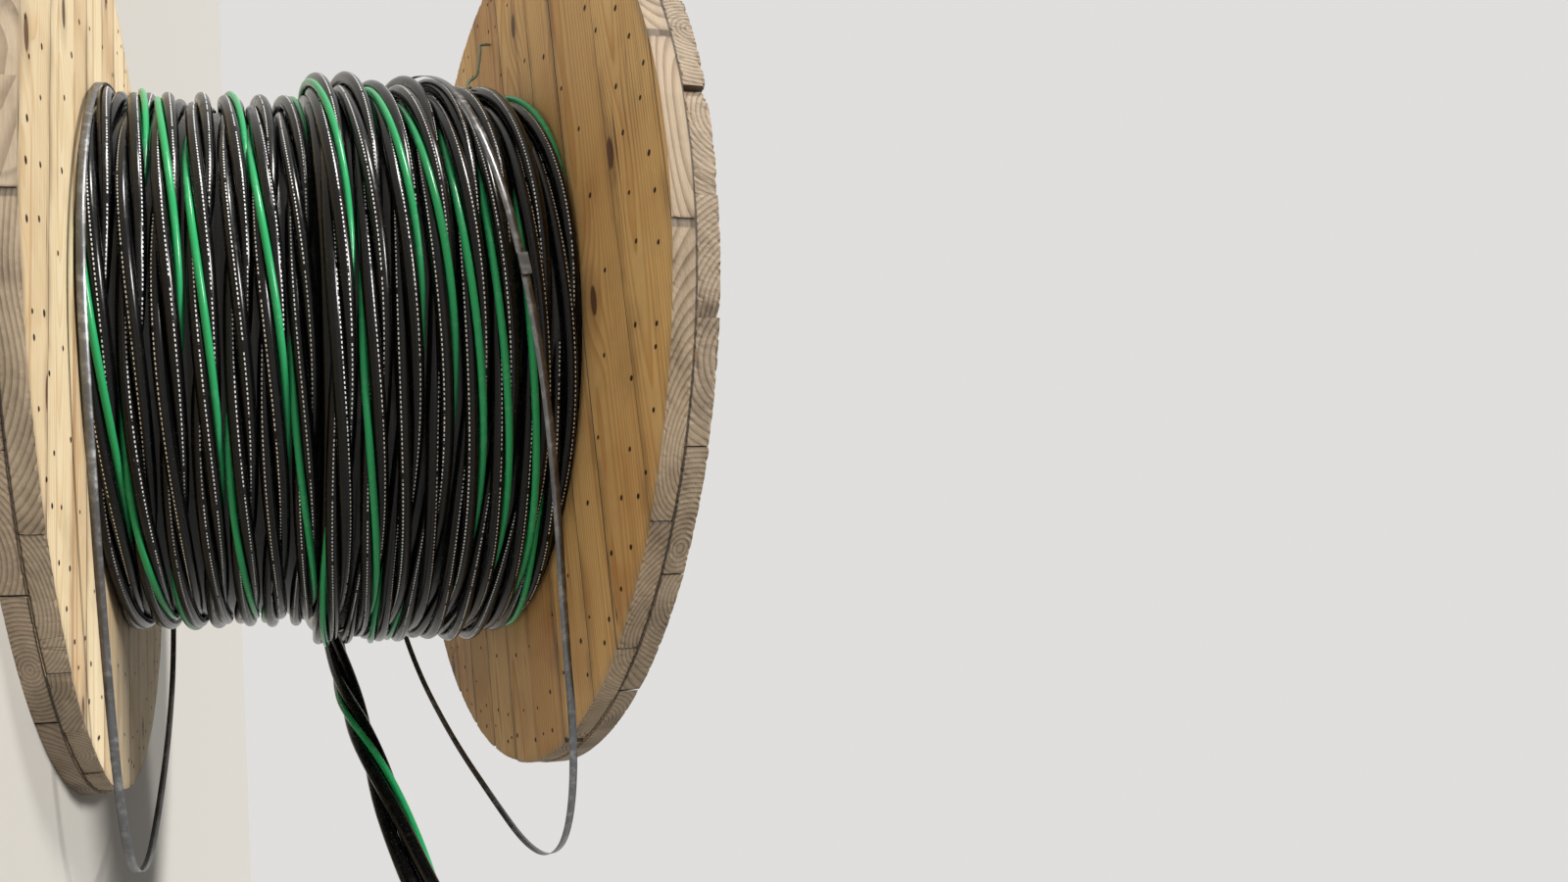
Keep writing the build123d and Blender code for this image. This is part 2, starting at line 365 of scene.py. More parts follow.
def annulus(inner, outer, rise_inner, rise_outer, count, wave=0.0, waves=0):
    """Flat or sloping ring of the cut face: radius from inner to outer, height between the rises.

    The inner radius swells by wave * |sin(waves * a / 2)|, which makes its flutes."""
    a = np.linspace(0, 2 * pi, count, endpoint=False)
    swell = wave * np.abs(np.sin(waves * a / 2))
    middle = (inner + outer) / 2
    radii = np.stack([inner + swell, middle + swell / 2, outer + 0 * a])
    rises = np.array([rise_inner, (rise_inner + rise_outer) / 2 + 0.0002, rise_outer])
    points = np.stack([radii * np.cos(a), radii * np.sin(a), rises[:, None] + 0 * a], axis=-1)
    number = np.arange(3 * count).reshape(3, count)
    after = np.roll(number, -1, axis=1)
    faces = np.stack([number[:-1], number[1:], after[1:], after[:-1]], axis=-1).reshape(-1, 4)
    return points.reshape(-1, 3), faces


def strand_tops(radius, pitch, rise, seed):
    """Domed tops of round strands packed in rings of 1, 6, 12 and so on inside the radius.

    Each top is rings at 1, 0.86 and 0.45 of the strand's radius, at heights -rise, 0 and
    rise / 2, and a peak; the whole face is tipped and smeared a little by the shears."""
    dice = np.random.default_rng(seed)
    centres = [(0.0, 0.0)]
    for ring in range(1, int(round(radius / pitch)) + 1):
        turn = np.arange(6 * ring) * 2 * pi / (6 * ring) + 0.3 * ring
        centres += list(zip(ring * pitch * np.cos(turn), ring * pitch * np.sin(turn)))
    centres = np.array(centres)
    centres += dice.normal(0, pitch * 0.05, centres.shape)
    sides = 8
    a = np.linspace(0, 2 * pi, sides, endpoint=False) + 0.3
    shares = np.array([1.0, 0.86, 0.45])
    disc = np.stack([np.outer(shares, np.cos(a)), np.outer(shares, np.sin(a))], axis=-1)
    disc = disc * pitch * 0.60
    depth = np.array([-rise, 0.0, rise * 0.5])[:, None] + 0 * a
    tip = dice.normal(0, rise * 0.35, (len(centres), 1, 1)) + 0.08 * centres[:, 0, None, None]
    flat = centres[:, None, None, :] + disc[None]
    points = np.concatenate([flat, (depth[None] + tip)[..., None]], axis=-1)
    peaks = np.concatenate([centres, tip[:, 0, 0, None] + rise * 0.6], axis=1)
    per = 3 * sides
    number = np.arange(per).reshape(3, sides)
    after = np.roll(number, -1, axis=1)
    quads = np.stack([number[:-1], after[:-1], after[1:], number[1:]], axis=-1).reshape(-1, 4)
    quads = (quads[None] + per * np.arange(len(centres))[:, None, None]).reshape(-1, 4)
    last = number[2][None] + per * np.arange(len(centres))[:, None]
    peak = per * len(centres) + np.arange(len(centres))[:, None] + 0 * last
    tops = np.stack([last, np.roll(last, -1, axis=1), peak], axis=-1).reshape(-1, 3)
    return np.concatenate([points.reshape(-1, 3), peaks]), quads.tolist() + tops.tolist()


def black_cut(name, end, seed):
    """The cut face of one black conductor, as separate pieces of each material."""
    made = []
    # Label, inner and outer radius, their heights, material, depth and number of flutes.
    layers = [("jacket", 0.0092, conductor_radius, 0.0004, 0.0, black_insulation, 0.0, 0)]
    layers += [("copper_ring", 0.0066, 0.0087, 0.0012, 0.0006, ring_copper, 0.0011, 19)]
    layers += [("bed", 0.0, 0.0093, -0.0006, -0.0006, black_insulation, 0.0, 0)]
    layers += [("strand_bed", 0.0, 0.0080, -0.00055, -0.00055, strand_copper, 0.0, 0)]
    for label, inner, outer, low, high, material, wave, waves in layers:
        points, faces = annulus(inner, outer, low, high, 114, wave, waves)
        uvs = np.zeros((len(points), 2)) if material is black_insulation else None
        made.append(place_mesh(f"{name}_{label}", lift(end, points), faces, material, uvs))
    folds = 20
    width = np.array([0, 0, 0, 0, 1, 1, 1, 1]) * 0.19
    turn = np.repeat(np.arange(folds) * 2 * pi / folds, 8) + np.tile(width, folds)
    out = np.tile(np.array([0.0087, 0.0094, 0.0094, 0.0087] * 2), folds)
    high = np.tile(np.array([-0.0006, -0.0006, 0.0012, 0.0012] * 2), folds)
    points = np.stack([out * np.cos(turn), out * np.sin(turn), high], axis=-1)
    block = np.array([[0, 1, 2, 3], [7, 6, 5, 4], [1, 5, 6, 2],
                      [0, 3, 7, 4], [3, 2, 6, 7], [0, 4, 5, 1]])
    faces = (block[None] + 8 * np.arange(folds)[:, None, None]).reshape(-1, 4)
    made.append(place_mesh(f"{name}_tape_folds", lift(end, points), faces, pale_tape,
                           smooth=False, closed=True))
    points, faces = strand_tops(0.0063, strand_pitch, strand_dome, seed)
    made.append(place_mesh(f"{name}_strands", lift(end, points), faces, strand_copper))
    for piece in made:
        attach(piece, body)
    return made


def green_cut(name, end, seed):
    """The cut face of the green conductor: a thin jacket and nineteen strands."""
    points, faces = annulus(0.0048, green_radius, 0.0003, 0.0, 48)
    made = [place_mesh(f"{name}_jacket", lift(end, points), faces, green_insulation)]
    points, faces = annulus(0.0, 0.0049, -0.0004, -0.0004, 48)
    made.append(place_mesh(f"{name}_bed", lift(end, points), faces, strand_copper))
    points, faces = strand_tops(0.0040, strand_pitch, strand_dome, seed)
    made.append(place_mesh(f"{name}_strands", lift(end, points), faces, strand_copper))
    for piece in made:
        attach(piece, body)
    return made


for name, offset, lay_radius, ends, seed in (
        ("tail_black_upper", 180, 14.2, upper_ends, 3),
        ("tail_black_lower", 300, 14.2, lower_ends, 4),
        ("tail_black_right", 60, 14.2, right_ends, 5),
        ("tail_green", 0, 21.8, green_ends, 6)):
    thick = conductor_radius if "black" in name else green_radius
    finish = black_insulation if "black" in name else green_insulation
    print_place = 0.62 + 0.05 * seed
    tail, route, length, axes = tail_conductor(name + "_cord", offset, lay_radius, ends, thick,
                                               finish, print_place)
    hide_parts(name)
    cut = (black_cut if "black" in name else green_cut)(name + "_cut", (route[-1], axes), seed)
    route = stood(route)
    2 * thick

# Winding.
# The same twisted bundle, wound side by side between the flanges. The right half
# carries one layer more. Under the bundles that show lies a dark bed of deeper turns.
wound_width = 0.7194
left_turns, turns = 7, 15
pitch = wound_width / turns
left_crest, right_crest, last_drop = 0.482, 0.521, 0.014
layer_end = -0.024
bed_edge, left_bed, right_bed = 0.359, 0.452, 0.486
barrel_radius = 0.356
bundle_radius = 0.0232
black_lay, green_lay = 0.0124, 0.0190
lays = 3
# Degrees up from the front at which the green conductor of each turn lies outermost.
green_places = [12, -33, 53, 22, -35, 28, -20, 58, -15, 48, 33, 14, 5, -5, 75]


def wound_conductor(index, which, radius, lay_radius, sides):
    """Tube of one conductor in one turn: rings in planes through the drum's axis.

    At angle t the bundle's centre is at (x, rho); the conductor stands off it by
    lay_radius at the lay's angle, which runs round three times in one turn. Slow
    sums of sines make each turn sway, swell and slacken a little."""
    dice = np.random.default_rng(100 + index)
    sway = dice.uniform(-1, 1, 6)
    own = np.random.default_rng(1000 + 10 * index + which).uniform(-1, 1, 4)
    segments = 176
    t = np.linspace(0, 2 * pi, segments, endpoint=False)
    crest = left_crest if index < left_turns else right_crest
    if index == turns - 1:
        crest -= last_drop
    x = -wound_width / 2 + pitch * (index + 0.5) + 0.0022 * sway[0] * np.sin(t + 3 * sway[1])
    x = x + 0.0016 * sway[2] * np.sin(2 * t + 3 * sway[3])
    top = np.exp(-((t - pi / 2) / 0.5) ** 2)
    rho = crest - bundle_radius + 0.0024 * sway[4] * np.sin(t + 3 * sway[5]) - 0.0015
    rho = rho + (0.003 + 0.004 * own[0]) * top
    green_at = radians(green_places[index])
    lay = pi / 2 + lays * (t - green_at) + 0.25 * sway[0] * np.sin(t - green_at)
    lay = lay + which * 2 * pi / 3 + (0 if lay_radius == green_lay else pi / 3)
    loose = lay_radius * (1 + 0.10 * own[1] * np.sin(2 * t + 3 * own[2]))
    x = x + loose * np.cos(lay)
    rho = rho + loose * np.sin(lay)
    a = np.linspace(0, 2 * pi, sides, endpoint=False)
    ring_x = x[:, None] + radius * np.cos(a)
    ring_rho = rho[:, None] + radius * np.sin(a)
    ring_y = -ring_rho * np.cos(t)[:, None]
    ring_z = axis_height + ring_rho * np.sin(t)[:, None]
    points = np.stack([ring_x, ring_y, ring_z], axis=-1)
    number = np.arange(segments * sides).reshape(segments, sides)
    after = np.roll(number, -1, axis=0)
    around = np.roll(number, -1, axis=1)
    faces = np.stack([number, after, np.roll(around, -1, axis=0), around], axis=-1)
    gone = np.arange(segments + 1) * 2 * pi * crest / segments + 0.37 * (3 * index + which)
    share = np.arange(sides) / sides + 0.25 + 0.10 * own[3]
    uv = np.empty((segments, sides, 4, 2))
    uv[:, :, 0, 0] = uv[:, :, 3, 0] = gone[:-1, None]
    uv[:, :, 1, 0] = uv[:, :, 2, 0] = gone[1:, None]
    uv[:, :, 0, 1] = uv[:, :, 1, 1] = share[None]
    uv[:, :, 2, 1] = uv[:, :, 3, 1] = share[None] + 1 / sides
    return points.reshape(-1, 3), faces.reshape(-1, 4), uv.reshape(-1, 2)


def joined(parts):
    """Several grids of points, faces and uvs as one."""
    start = 0
    points, faces, uvs = [], [], []
    for part_points, part_faces, part_uvs in parts:
        points.append(part_points)
        faces.append(part_faces + start)
        uvs.append(part_uvs)
        start += len(part_points)
    return np.concatenate(points), np.concatenate(faces), np.concatenate(uvs)


def place_joined(name, parts, material):
    """Place several grids as one piece that rides on the drum."""
    points, faces, uvs = joined(parts)
    made = place_mesh(name, points, faces, material, uvs)
    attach(made, body)
    return made


def wound_bed(low, high, radius):
    """Bed of deeper turns: a turned surface with a shallow wave for each turn."""
    x = np.linspace(low, high, 8 * int(round((high - low) / pitch)) + 1)
    rho = radius + 0.003 * np.abs(np.sin(pi * (x - low) / pitch))
    x = np.concatenate([[low], x, [high]])
    rho = np.concatenate([[barrel_radius], rho, [barrel_radius]])
    t = np.linspace(0, 2 * pi, 96, endpoint=False)
    y = -rho * np.cos(t)[:, None]
    z = axis_height + rho * np.sin(t)[:, None]
    points = np.stack([x + 0 * z, y, z], axis=-1)
    number = np.arange(points.shape[0] * points.shape[1]).reshape(points.shape[:2])
    after = np.roll(number, -1, axis=0)
    faces = np.stack([number[:, :-1], number[:, 1:], after[:, 1:], after[:, :-1]], axis=-1)
    faces = faces.reshape(-1, 4)
    return points.reshape(-1, 3), faces, np.zeros((len(faces) * 4, 2))


def wound_blacks(first, last):
    """The three black conductors of each turn from first up to last."""
    return [wound_conductor(index, which, conductor_radius, black_lay, 14)
            for index in range(first, last) for which in range(3)]


beds = [wound_bed(-bed_edge, layer_end, left_bed), wound_bed(layer_end, bed_edge, right_bed)]
place_joined("winding_bed", beds, black_insulation)
left_black = place_joined("winding_black_left", wound_blacks(0, left_turns), black_insulation)
right_black = place_joined("winding_black_right", wound_blacks(left_turns, turns), black_insulation)
greens = [wound_conductor(index, 0, green_radius, green_lay, 10) for index in range(turns)]
place_joined("winding_green", greens, green_insulation)
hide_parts("cable_lower_layers")
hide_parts("cable_top_layer")

# Flanges.
# Two plies of rough sawn softwood boards, nailed crosswise and sawn to a circle. The
# rims are weathered and chipped. Both inner plies are one wood: the left one is painted
# paler as painted light, and the right one darker and more golden as painted shade.
flange_radius = 0.762
inner_face, ply_face = 0.360, 0.391
arbor_hole, rod_circle, rod_hole = 0.0413, 0.280, 0.0083
recess_radius, recess_depth = 0.028, 0.022
board_width, ripped_width = 0.140, 0.100
middle_seam = -0.021 - board_width / 2
ripped_seam = middle_seam - 2 * board_width - ripped_width
board_turn = radians(-31)


def board_wood(name, turn, ripped, sapwood, heartwood):
    """Sawn softwood: growth rings about each board's own pith, fibres, knots, a worn rim.

    A ring's radius is the distance to a line that runs near the board, so the same
    rings show as long lines on faces and as arcs on end grain."""
    material, shade, surface = finish_material(name)
    # The lying drum's axes, with z from its axis and x from its middle.
    down, y, up_the_stack = shade.node("ShaderNodeTexCoord", {}, {}, "Object").axes()
    z = 0.0 - down
    x = up_the_stack - outer_face
    across = y * cos(turn) + z * sin(turn)
    along = z * cos(turn) - y * sin(turn)
    shift = across - middle_seam
    if ripped:
        shift = shift - (board_width - ripped_width) * (1 - across.above(ripped_seam))
    index = (shift / board_width).floor()
    inside = shift - (index + 0.5) * board_width
    seed = shade.vector(index * 1.37 + 0.5, 0.3, 4.1 + 3.0 * x.above(0.0))
    solid = {"noise_dimensions": "3D"}
    chances = shade.node("ShaderNodeTexWhiteNoise", solid, {"Vector": seed}, "Color")
    first, second, third = chances.axes()
    own = shade.vector(along + 7.0 * first, inside, x)

    def streaks(length, start, width, depth, detail, roughness):
        """Noise drawn out along the board; length, width and depth are its repeats a metre."""
        spread = shade.vector(along * length + start, inside * width, x * depth)
        return shade.noise(spread, 1.0, detail, roughness)

    drift = streaks(1.6, 9.0 * second, 5.0, 5.0, 2.0, 0.5)
    cell = shade.vector(along * 3.1 + 20.0 * first, inside * 7.0 + 5.0 * second, 0.0)
    flat = {"voronoi_dimensions": "2D"}
    spot = shade.node("ShaderNodeTexVoronoi", flat, {"Vector": cell, "Scale": 1.0}, "Distance")
    chosen = shade.node("ShaderNodeTexVoronoi", flat, {"Vector": cell, "Scale": 1.0}, "Color")
    picked = chosen.axes()[0].above(0.72)
    near = picked * (1 - spot.step(0.0, 0.42))
    knot = picked * (1 - spot.step(0.055, 0.085))
    from_pith = inside - (first - 0.5) * 0.15
    out_of = x.size() - inner_face - 0.035 - 0.09 * second - 0.10 * (third - 0.5) * along
    ring_radius = (from_pith * from_pith + out_of * out_of) ** 0.5
    ring_radius = ring_radius + 0.022 * (drift - 0.5) + 0.012 * near
    ring = (ring_radius / (0.0042 + 0.0035 * third)).part()
    late = ring.step(0.35, 0.93) * (1 - ring.step(0.94, 1.0))
    fibre = streaks(5.0, 3.0 * first, 330.0, 330.0, 3.0, 0.6)
    fine = streaks(22.0, 3.0 * first, 900.0, 900.0, 2.0, 0.6)
    clouds = shade.noise(own, 4.5, 3.0, 0.6)
    colour = shade.blend(sapwood, heartwood, late * 0.60 + 0.5 * (fibre - 0.5) + 0.1)
    darker = tuple(channel * share for channel, share in zip(heartwood, (0.66, 0.50, 0.36)))
    colour = shade.blend(colour, darker, second * second * 0.55 + clouds.step(0.45, 0.75) * 0.40)
    resin = streaks(0.9, 11.0 * third, 34.0, 20.0, 3.0, 0.6).step(0.55, 0.70)
    colour = shade.blend(colour, (0.36, 0.150, 0.045), resin * 0.50)
    to_seam = 0.5 * board_width - inside.size()
    if ripped:
        to_seam = to_seam.least((across - ripped_seam).size())
    arris = 1 - to_seam.step(0.0004, 0.0014)
    beside = (1 - to_seam.step(0.003, 0.022)) * clouds.step(0.40, 0.62)
    colour = shade.blend(colour, (0.16, 0.085, 0.035), beside * 0.45)
    colour = shade.blend(colour, (0.115, 0.052, 0.022), knot * 0.85 + near.step(0.45, 0.9) * 0.25)
    cracks = streaks(1.3, 5.0 * second, 46.0, 3.0, 1.0, 0.5)
    crack = 1 - (cracks - 0.5).size().step(0.0, 0.012)
    crack = crack * shade.noise(own, 2.6, 1.0).step(0.56, 0.64)
    colour = shade.blend(colour, (0.045, 0.026, 0.014), crack * 0.8)
    normal = shade.node("ShaderNodeNewGeometry", {}, {}, "True Normal")
    rim = (1 - normal.axes()[2].size()).step(0.35, 0.6)
    outline = (y * y + z * z) ** 0.5
    edge = outline.step(0.744, 0.760) * 0.55
    weather = rim.most(edge * clouds.step(0.3, 0.6))
    grime = shade.noise(shade.vector(x * 14.0, y * 9.0, z * 9.0), 1.0, 4.0, 0.65)
    between = (1 - (x.size() - ply_face).size().step(0.0012, 0.0030)) * rim
    dirt = grime.step(0.40, 0.75) * 0.65 + late * 0.45
    aged = shade.blend((0.40, 0.315, 0.225), (0.075, 0.052, 0.034), dirt)
    colour = shade.blend(colour, aged, weather * 0.90)
    joint = arris * (0.60 + 0.35 * rim)
    colour = shade.blend(colour, (0.014, 0.009, 0.006), joint.most(between * 0.9))
    stain = shade.noise(shade.vector(x, y * 2.0, z * 2.0), 2.2, 4.0, 0.6).step(0.55, 0.78)
    colour = shade.blend(colour, (0.12, 0.085, 0.055), stain * 0.30)
    height = late * 0.5 + fibre * 0.9 + fine * 0.5 - crack * 3.0 + knot * 0.6 + grime * rim * 1.4
    relief = shade.bump(height, 0.55, 0.0012)
    rough = 0.66 + 0.12 * late - 0.10 * fibre + 0.1 * rim
    join(shade, surface, Base_Color=colour, Roughness=rough, Normal=relief)
    return material


def ply_seams(ripped):
    """The boards' edges, counted both ways from the middle board."""
    edges = [middle_seam + board_width * step for step in range(0, 7)]
    below = middle_seam
    for step in range(-1, -7, -1):
        below -= ripped_width if ripped and step == -3 else board_width
        edges.insert(0, below)
    edges = np.clip(np.array(sorted(edges)), -flange_radius, flange_radius)
    return np.unique(edges)


def board_grid(low, high, near, far, turn, dice):
    """One board: a block of three directions whose two ends are sawn to the flange's circle.

    Across the board v runs in equal steps of angle, so the ends keep the circle's
    curve; along it u = share * sqrt(R^2 - v^2). The ends are worn by random amounts,
    deeper at both arrises, with a chip at a corner here and there."""
    gap, spacing, widest = 0.0008, 0.0042, flange_radius * 0.9993
    low = max(low + gap, -widest)
    high = min(high - gap, widest)
    first, last = np.arcsin(np.array([low, high]) / flange_radius)
    count = max(6, int((last - first) * flange_radius / spacing))
    v = flange_radius * np.sin(np.linspace(first, last, count))
    w = np.array([0.0, 0.12, 0.35, 0.65, 0.88, 1.0])
    share = np.array([-1, -0.993, -0.96, -0.5, 0, 0.5, 0.96, 0.993, 1.0])
    short = dice.uniform(0.0, 0.0050)
    wear = dice.uniform(0, 1, (2, count, len(w)))
    wear = (wear + np.roll(wear, 1, axis=1) + np.roll(wear, 2, axis=1)) / 3
    fray = dice.uniform(0, 1, (2, count, len(w))) ** 5
    depth = 0.0012 * wear + 0.0038 * fray * np.array([1.0, 0.35, 0.15, 0.15, 0.35, 1.0])
    corner = dice.uniform(0, 1, (2, 2)) < 0.30
    reach = dice.uniform(0.008, 0.026, (2, 2))
    deep = dice.uniform(0.002, 0.008, (2, 2))
    for side in range(2):
        for hand in range(2):
            if corner[side, hand]:
                off = np.abs(v - (low, high)[hand]) / reach[side, hand]
                depth[side] += deep[side, hand] * np.clip(1 - off, 0, 1)[:, None] ** 0.7
    half = np.sqrt(np.maximum(flange_radius ** 2 - v ** 2, 1e-8))
    scale = np.minimum(1.0, half / 0.22)
    worn = (short + depth) * scale[:, None]
    share = share[:, None, None]
    hand = np.sign(share)
    u = share * half[None, :, None]
    u = u - hand * np.where(hand < 0, worn[0], worn[1]) * np.abs(share) ** 12
    thick = near + (far - near) * w
    cup = dice.uniform(-0.0005, 0.0005)
    x = thick[None, None, :] + cup * (2 * (v - low) / (high - low) - 1)[None, :, None] ** 2 + 0 * u
    across = v[None, :, None] + 0 * u
    y = across * cos(turn) - u * sin(turn)
    z = axis_height + across * sin(turn) + u * cos(turn)
    return np.stack([x, y, z], axis=-1)


def block_faces(shape):
    """Outer faces of a block of points, turned outwards."""
    number = np.arange(np.prod(shape)).reshape(shape)
    found = []
    for axis, end, flip in ((0, 0, 0), (0, -1, 1), (1, 0, 1), (1, -1, 0), (2, 0, 0), (2, -1, 1)):
        skin = np.take(number, end, axis=axis)
        corners = [skin[:-1, :-1], skin[:-1, 1:], skin[1:, 1:], skin[1:, :-1]]
        if flip:
            corners = corners[::-1]
        found.append(np.stack(corners, axis=-1).reshape(-1, 4))
    return np.concatenate(found)


def ply(name, near, far, turn, ripped, material, seed):
    """All boards of one ply as one mesh, with the arbor hole and the rod holes cut through.

    The inner plies have the ripped board; the outer ones have the nuts' recesses."""
    dice = np.random.default_rng(seed)
    edges = ply_seams(ripped)
    points, faces, start = [], [], 0
    for low, high in zip(edges[:-1], edges[1:]):
        grid = board_grid(low, high, near, far, turn, dice)
        skin = block_faces(grid.shape[:3]) + start
        points.append(grid.reshape(-1, 3))
        faces.append(skin)
        start += grid[..., 0].size
    points = np.concatenate(points)
    faces = np.concatenate(faces)
    used, faces = np.unique(faces, return_inverse=True)
    made = place_mesh(name, points[used], faces.reshape(-1, 4), material, smooth=False, closed=True)
    drill(made, near, far, not ripped)
    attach(made, body)
    return made


def drill(made, near, far, recess):
    """Cut round holes: the arbor hole, six rod holes, and the nuts' recesses on the outer side."""
    past = 0.01
    low, high = min(near, far) - past, max(near, far) + past
    holes = [(0.0, 0.0, arbor_hole, low, high, 48)]
    for step in range(6):
        a = 2 * pi * step / 6
        y, z = rod_circle * cos(a), rod_circle * sin(a)
        holes.append((y, z, rod_hole, low, high, 16))
        if recess:
            out = 1 if near > 0 else -1
            depths = sorted([out * (outer_face - recess_depth), out * (outer_face + past)])
            holes.append((y, z, recess_radius, *depths, 32))
    for y, z, radius, low, high, count in holes:
        a = np.linspace(0, 2 * pi, count, endpoint=False)
        ring = np.stack([radius * np.cos(a) + y, radius * np.sin(a) + z + axis_height], axis=-1)
        points = np.concatenate([np.column_stack([np.full(count, x), ring]) for x in (low, high)])
        number = np.arange(count)
        after = np.roll(number, -1)
        faces = np.stack([number, after, after + count, number + count], axis=-1).tolist()
        faces.append(number[::-1].tolist())
        faces.append((number + count).tolist())
        mesh = bpy.data.meshes.new("drill")
        mesh.from_pydata(stood(points), [], faces)
        bit = bpy.data.objects.new("drill", mesh)
        bpy.context.scene.collection.objects.link(bit)
        cut = made.modifiers.new("drill", "BOOLEAN")
        cut.operation = "DIFFERENCE"
        cut.solver = "EXACT"
        cut.object = bit
        view = bpy.context.evaluated_depsgraph_get()
        result = bpy.data.meshes.new_from_object(made.evaluated_get(view))
        made.modifiers.clear()
        old = made.data
        made.data = result
        bpy.data.meshes.remove(old)
        bpy.data.objects.remove(bit)
        bpy.data.meshes.remove(mesh)


crosswise = board_turn + pi / 2
# The two inner plies share one wood. The left copy's paler colours are painted light, and the right
# copy's darker golden colours are painted shade.
painted_light_wood = board_wood("left_inner_wood_painted_light", board_turn, True, (0.88, 0.755, 0.52),
                       (0.74, 0.53, 0.27))
painted_shade_wood = board_wood("right_inner_wood_painted_shade", board_turn, True, (0.74, 0.49, 0.205),
                         (0.52, 0.255, 0.075))
outer_wood = board_wood("outer_board_wood", crosswise, False, (0.50, 0.36, 0.21),
                        (0.34, 0.21, 0.10))
for name, near, far, turn, ripped, wood, seed in (
        ("left_flange_inner_boards", -inner_face, -ply_face, board_turn, True, painted_light_wood, 21),
        ("left_flange_outer_boards", -ply_face, -outer_face, crosswise, False, outer_wood, 22),
        ("right_flange_inner_boards", inner_face, ply_face, board_turn, True, painted_shade_wood, 23),
        ("right_flange_outer_boards", ply_face, outer_face, crosswise, False, outer_wood, 24)):
    boards = ply(name + "_sawn", near, far, turn, ripped, wood, seed)
    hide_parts(name)

# Nails.
# Rings of clenched steel nails hold the two plies of each flange together. They show
# as small dark domes on both of its faces.
dice = np.random.default_rng(7)
nail_places = []
for ring_radius, count in ((0.724, 74), (0.670, 50), (0.560, 30), (0.430, 20), (0.300, 12)):
    turn = np.arange(count) * 2 * pi / count + dice.normal(0, 0.025, count)
    radii = ring_radius + dice.normal(0, 0.007, count)
    nail_places.append(np.column_stack([radii * np.cos(turn), radii * np.sin(turn)]))
nail_places = np.concatenate(nail_places)
nail_steel, nail_shade, nail_surface = finish_material("nail_steel")
nail_place = nail_shade.node("ShaderNodeTexCoord", {}, {}, "Object")
nail_rust = nail_shade.noise(nail_place, 300.0, 2.0).step(0.4, 0.65)
nail_tone = nail_shade.blend((0.014, 0.012, 0.011), (0.06, 0.030, 0.018), nail_rust)
join(nail_shade, nail_surface, Base_Color=nail_tone, Roughness=0.55 + 0.25 * nail_rust)
nail_surface.inputs["Metallic"].default_value = 0.4


def nail_heads(name, face, out):
    """Low domes, 2.8 to 4.6 mm in radius: a circle 0.4 mm proud of the board, and a
    flat top of 0.75 times its radius 0.5 mm above it."""
    dice = np.random.default_rng(int(1000 * abs(face)) + out)
    radii = dice.uniform(0.0028, 0.0046, len(nail_places))
    count = 8
    a = np.linspace(0, 2 * pi, count, endpoint=False)
    circle = np.stack([np.cos(a), np.sin(a)], axis=-1)
    points = []
    for share, rise in ((1.0, 0.0004), (0.75, 0.0009)):
        ring = nail_places[:, None] + share * radii[:, None, None] * circle
        x = np.full(ring.shape[:2] + (1,), face + out * rise)
        points.append(np.concatenate([x, ring], axis=-1))
    points = np.stack(points, axis=1)
    points[..., 2] += axis_height
    base = 2 * count * np.arange(len(nail_places))[:, None, None]
    number = np.arange(2 * count).reshape(2, count)
    after = np.roll(number, -1, axis=1)
    sides = np.stack([number[0], after[0], after[1], number[1]], axis=-1)
    if out < 0:
        sides = sides[:, ::-1]
    sides = (sides[None] + base).reshape(-1, 4).tolist()
    caps = number[1] if out > 0 else number[1][::-1]
    caps = (caps[None] + base[:, 0]).tolist()
    made = place_mesh(name, points.reshape(-1, 3), sides + caps, nail_steel, smooth=False)
    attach(made, body)


nail_heads("nails_left_inner", -inner_face, 1)
nail_heads("nails_right_inner", inner_face, -1)
nail_heads("nails_left_outer", -outer_face, -1)
nail_heads("nails_right_outer", outer_face, 1)

# Barrel and tie rods.
# Softwood staves run between the flanges under the cable. Six zinc plated steel rods
# clamp the flanges, with a washer and a nut at each end sunk into the outer plies.
stave_wood, stave_shade, stave_surface = finish_material("stave_wood")
sy, sz, sx = stave_shade.node("ShaderNodeTexCoord", {}, {}, "Object").axes()
stave_fibre = stave_shade.noise(stave_shade.vector(sx * 4.0, sy * 160.0, sz * 160.0), 1.0, 3.0, 0.6)
stave_tone = stave_shade.noise(stave_shade.vector(sx, sy * 9.0, sz * 9.0), 1.0, 1.0)
stave_tone = stave_tone.step(0.35, 0.65)
stave_colour = stave_shade.blend((0.50, 0.34, 0.18), (0.36, 0.22, 0.10), stave_fibre)
stave_colour = stave_shade.blend(stave_colour, (0.25, 0.16, 0.08), stave_tone * 0.4)
join(stave_shade, stave_surface, Base_Color=stave_colour, Roughness=0.75)
zinc_steel, zinc_shade, zinc_surface = finish_material("zinc_steel")
zinc_place = zinc_shade.node("ShaderNodeTexCoord", {}, {}, "Object")
zinc_spangle = zinc_shade.noise(zinc_place, 120.0, 3.0, 0.6).step(0.35, 0.7)
zinc_dirt = zinc_shade.noise(zinc_place, 22.0, 3.0, 0.6).step(0.5, 0.75)
zinc_colour = zinc_shade.blend((0.50, 0.51, 0.52), (0.34, 0.35, 0.37), zinc_spangle)
zinc_colour = zinc_shade.blend(zinc_colour, (0.20, 0.12, 0.07), zinc_dirt * 0.5)
join(zinc_shade, zinc_surface, Base_Color=zinc_colour, Roughness=0.38 + 0.25 * zinc_dirt)
zinc_surface.inputs["Metallic"].default_value = 0.9


def dress(node, material):
    """Give a CAD node its material."""
    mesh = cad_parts[node].data
    mesh.materials.clear()
    mesh.materials.append(material)


dress("barrel_staves", stave_wood)
for node in ("tie_rods", "tie_rod_washers", "tie_rod_nuts"):
    dress(node, zinc_steel)

